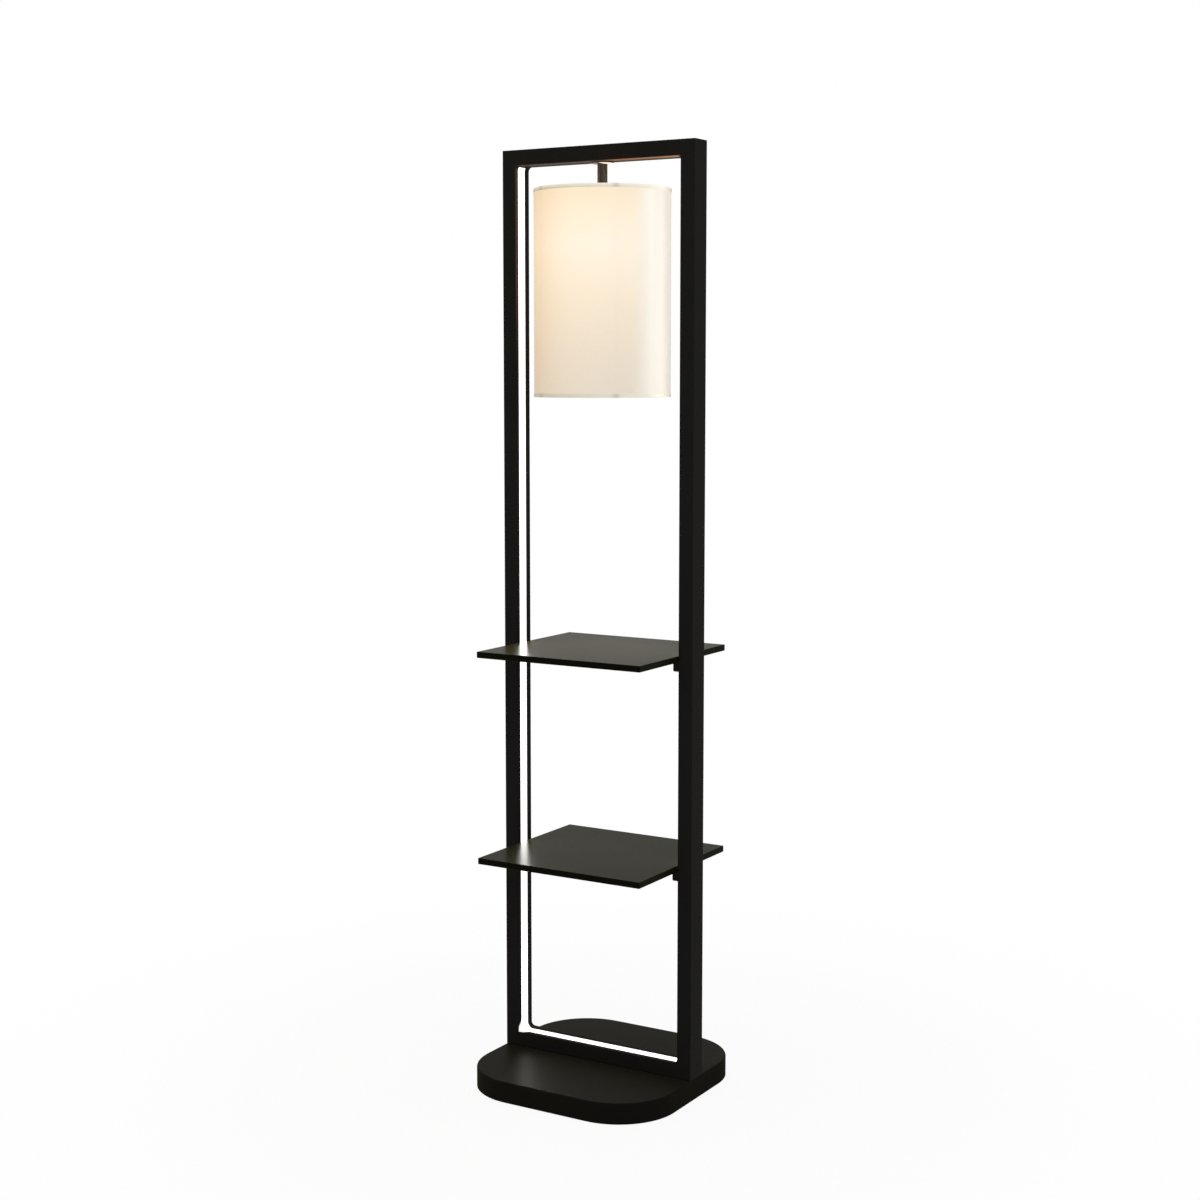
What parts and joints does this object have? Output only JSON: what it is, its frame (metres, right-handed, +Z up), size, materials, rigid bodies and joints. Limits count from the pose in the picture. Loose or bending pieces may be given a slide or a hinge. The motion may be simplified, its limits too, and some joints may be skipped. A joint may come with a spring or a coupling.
{
  "type": "shelf floor lamp",
  "caption": "Tall black floor lamp: a lit rectangular channel frame on a weighted rounded base, with flat shelves between its uprights and a fabric drum shade hung from the top.",
  "frame": {"origin": "on the floor, under the middle of the base", "axes": "+Z up, +X along the frame to the right seen from the front, -Y towards the front"},
  "size_m": [0.35, 0.352, 1.5],
  "materials": {
    "frame_black": "satin",
    "base_black": "satin",
    "hanger_bronze": "satin",
    "shelf_black": "satin",
    "opal_diffuser": "matte",
    "bare_aluminium": "satin",
    "strip_white": "matte",
    "ballast_iron": "matte",
    "foot_rubber": "matte",
    "inlet_nylon": "matte",
    "zinc_steel": "satin",
    "case_white": "matte",
    "terminal_plastic": "matte",
    "lead_sheath": "matte",
    "holder_black": "gloss",
    "holder_ceramic": "matte",
    "contact_brass": "satin",
    "shade_fabric": "matte",
    "shade_binding": "matte",
    "fitter_wire": "satin",
    "bulb_opal": "gloss",
    "bulb_white": "gloss",
    "bulb_nickel": "satin",
    "bulb_insulator_black": "gloss"
  },
  "bodies": {
    "lamp": {"left_upright": "frame_black", "right_upright": "frame_black", "top_rail": "frame_black", "bottom_rail": "frame_black", "upper_left_cleat": "frame_black", "upper_right_cleat": "frame_black", "lower_left_cleat": "frame_black", "lower_right_cleat": "frame_black", "base_shell": "base_black", "base_cover": "base_black", "hanger_flange": "hanger_bronze", "hanger_tube": "hanger_bronze", "upper_shelf": "shelf_black", "lower_shelf": "shelf_black", "left_diffuser": "opal_diffuser", "right_diffuser": "opal_diffuser", "bottom_diffuser": "opal_diffuser", "left_carrier": "bare_aluminium", "right_carrier": "bare_aluminium", "bottom_carrier": "bare_aluminium", "led_strip": "strip_white", "ballast_plate": "ballast_iron", "rubber_feet": "foot_rubber", "lead_grommets": "foot_rubber", "cord_inlet": "inlet_nylon", "cover_posts": "zinc_steel", "cover_screws": "zinc_steel", "ballast_screws": "zinc_steel", "frame_bolts": "zinc_steel", "frame_nuts": "zinc_steel", "shelf_screws": "zinc_steel", "hanger_nipple": "zinc_steel", "hanger_washer": "zinc_steel", "hanger_nut": "zinc_steel", "led_driver": "case_white", "terminal_block": "terminal_plastic", "lamp_lead": "lead_sheath", "strip_lead": "lead_sheath", "holder_cap": "holder_black", "holder_body": "holder_black", "shade_ring": "holder_black", "holder_insert": "holder_ceramic", "screw_shell": "contact_brass", "centre_contact": "contact_brass", "shade_drum": "shade_fabric", "shade_top_binding": "shade_binding", "shade_bottom_binding": "shade_binding", "shade_fitter": "fitter_wire", "shade_bottom_ring": "fitter_wire", "shade_struts": "fitter_wire"},
    "bulb_contact": {"bulb_tip": "contact_brass"},
    "bulb": {"bulb_globe": "bulb_opal", "bulb_housing": "bulb_white", "bulb_cap": "bulb_nickel", "bulb_insulator": "bulb_insulator_black"}
  },
  "joints": [
    {"name": "bulb_travel", "type": "slide", "parent": "lamp", "child": "bulb_contact", "axis": [0, 0, -1], "range_m": [0, 0.0146]},
    {"name": "bulb_turn", "type": "hinge", "parent": "bulb_contact", "child": "bulb", "pos_m": [0, 0, 1.38], "axis": [0, 0, -1], "range_deg": [0, 1440]}
  ],
  "couplings": [
    {"joint": "bulb_travel", "follows": "bulb_turn", "m_per_rad": 0.00057757}
  ]
}
